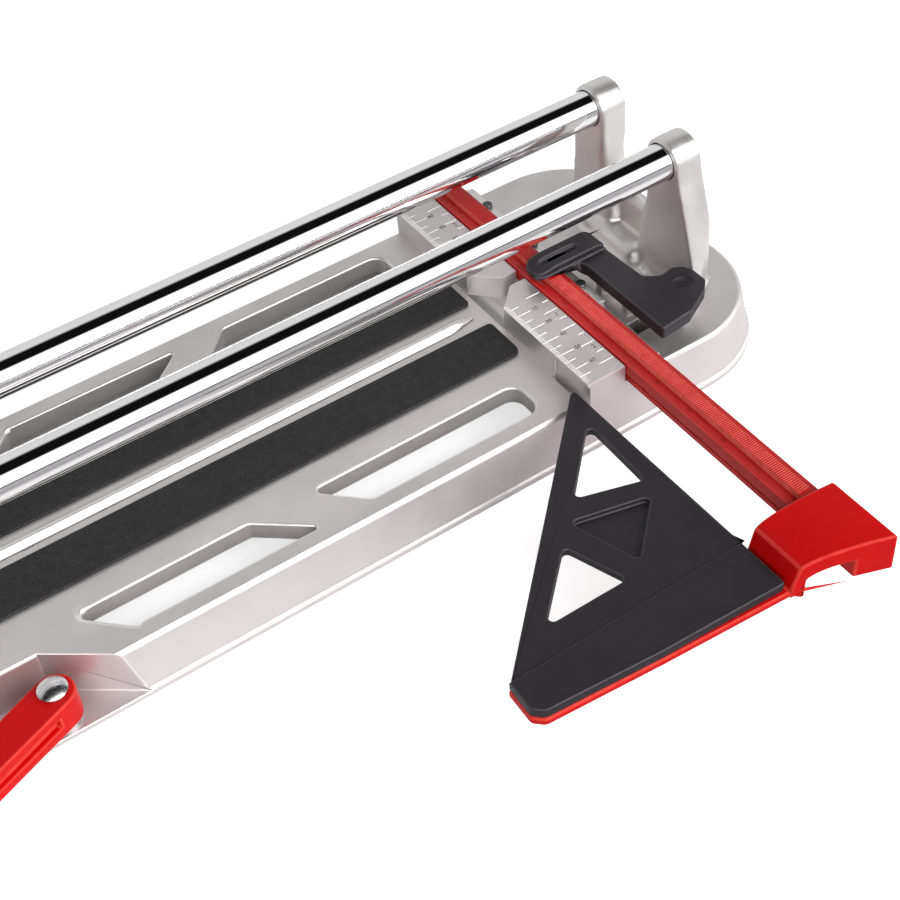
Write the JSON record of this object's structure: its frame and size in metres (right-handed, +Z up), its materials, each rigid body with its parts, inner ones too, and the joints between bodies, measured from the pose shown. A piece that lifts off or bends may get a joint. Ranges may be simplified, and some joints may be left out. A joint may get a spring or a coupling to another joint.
{
  "type": "tile cutter",
  "caption": "Manual tile cutter: cast base with rubber pads, twin guide rods, sliding scoring carriage, sliding square stop and folding side arms.",
  "frame": {"origin": "middle of the base at bench level, below the cutting line", "axes": "+X along the cut towards the fixed ruler, +Y across to the far side, +Z up"},
  "size_m": [0.816, 0.322, 0.2059],
  "materials": {
    "cast_base": "satin cast, bead blasted",
    "cast_bright": "machined satin",
    "cast_saddle": "satin cast, bead blasted",
    "pad_rubber": "fine grained matte",
    "feet_rubber": "matte",
    "rod_chrome": "hard chromed and polished",
    "dark_steel": "black oxide",
    "pin_steel": "turned, zinc plated",
    "rivet_chrome": "polished dome",
    "bush_bronze": "sintered bronze",
    "carriage_paint": "fine textured powder coat",
    "red_plastic": "satin gloss moulded",
    "rack_red": "satin gloss moulded, knurled",
    "lever_alloy": "tumbled cast",
    "tube_chrome": "chromed tube",
    "grip_rubber": "soft ribbed",
    "holder_steel": "blued",
    "carbide": "ground carbide",
    "foot_paint": "fine textured powder coat",
    "black_plastic": "fine spark-eroded texture"
  },
  "bodies": {
    "base": {"base_casting": "cast_base", "breaker_ridge": "cast_bright", "pad_near": "pad_rubber", "pad_far": "pad_rubber", "stop_saddle": "cast_saddle", "park_saddle": "cast_saddle", "guide_rod_near": "rod_chrome", "guide_rod_far": "rod_chrome", "rod_end_screws": "dark_steel", "saddle_bolts": "dark_steel", "rubber_feet": "feet_rubber", "feet_screws": "dark_steel", "bar_keeper": "cast_bright", "keeper_screws": "dark_steel", "lever_pin": "pin_steel", "lever_spring": "pin_steel", "arm_rivets": "rivet_chrome", "arm_washers": "pin_steel"},
    "carriage": {"carriage_block": "carriage_paint", "slide_bushes": "bush_bronze", "rod_wipers": "feet_rubber", "carriage_cover": "red_plastic", "cover_screws": "dark_steel", "handle_pin": "pin_steel", "pin_clips": "dark_steel"},
    "handle": {"handle_lever": "lever_alloy", "handle_tube": "tube_chrome", "handle_grip": "grip_rubber", "grip_end_cap": "red_plastic", "tube_screws": "dark_steel", "wheel_holder": "holder_steel", "holder_screw": "dark_steel", "wheel_axle": "pin_steel", "breaker_pin": "pin_steel"},
    "wheel": {"scoring_wheel": "carbide"},
    "breaker": {"breaker_foot": "foot_paint", "breaker_pads": "feet_rubber"},
    "scale": {"scale_bar": "red_plastic", "bar_rack": "rack_red", "end_cap": "red_plastic", "set_square": "black_plastic", "cap_screws": "dark_steel", "square_screws": "dark_steel"},
    "lock": {"lock_lever": "black_plastic"},
    "arm_near": {"side_arm_near": "red_plastic", "arm_pad_near": "pad_rubber"},
    "arm_far": {"side_arm_far": "red_plastic", "arm_pad_far": "pad_rubber"}
  },
  "joints": [
    {"name": "carriage_slide", "type": "slide", "parent": "base", "child": "carriage", "axis": [1, 0, 0], "range_m": [-0.06, 0.53]},
    {"name": "handle_press", "type": "hinge", "parent": "carriage", "child": "handle", "pos_m": [-0.197, 0, 0.103], "axis": [0, -1, 0], "range_deg": [-8, 12]},
    {"name": "wheel_spin", "type": "hinge", "parent": "handle", "child": "wheel", "pos_m": [-0.243, 0, 0.055], "axis": [0, 1, 0], "continuous": true},
    {"name": "breaker_tilt", "type": "hinge", "parent": "handle", "child": "breaker", "pos_m": [-0.275, 0, 0.068], "axis": [0, 1, 0], "range_deg": [-10, 10]},
    {"name": "scale_slide", "type": "slide", "parent": "base", "child": "scale", "axis": [0, 1, 0], "range_m": [-0.09, 0.03]},
    {"name": "lock_press", "type": "hinge", "parent": "base", "child": "lock", "pos_m": [0.346, 0, 0.041], "axis": [0, 1, 0], "range_deg": [0, 8], "stiffness_Nm_per_rad": 0.6, "springref_deg": -2.86, "deforming": ["lever_spring"]},
    {"name": "arm_near_swing", "type": "hinge", "parent": "base", "child": "arm_near", "pos_m": [0.062, -0.067, 0.02], "axis": [0, 0, 1], "range_deg": [-22, 68]},
    {"name": "arm_far_swing", "type": "hinge", "parent": "base", "child": "arm_far", "pos_m": [0.062, 0.067, 0.02], "axis": [0, 0, -1], "range_deg": [-22, 68]}
  ]
}
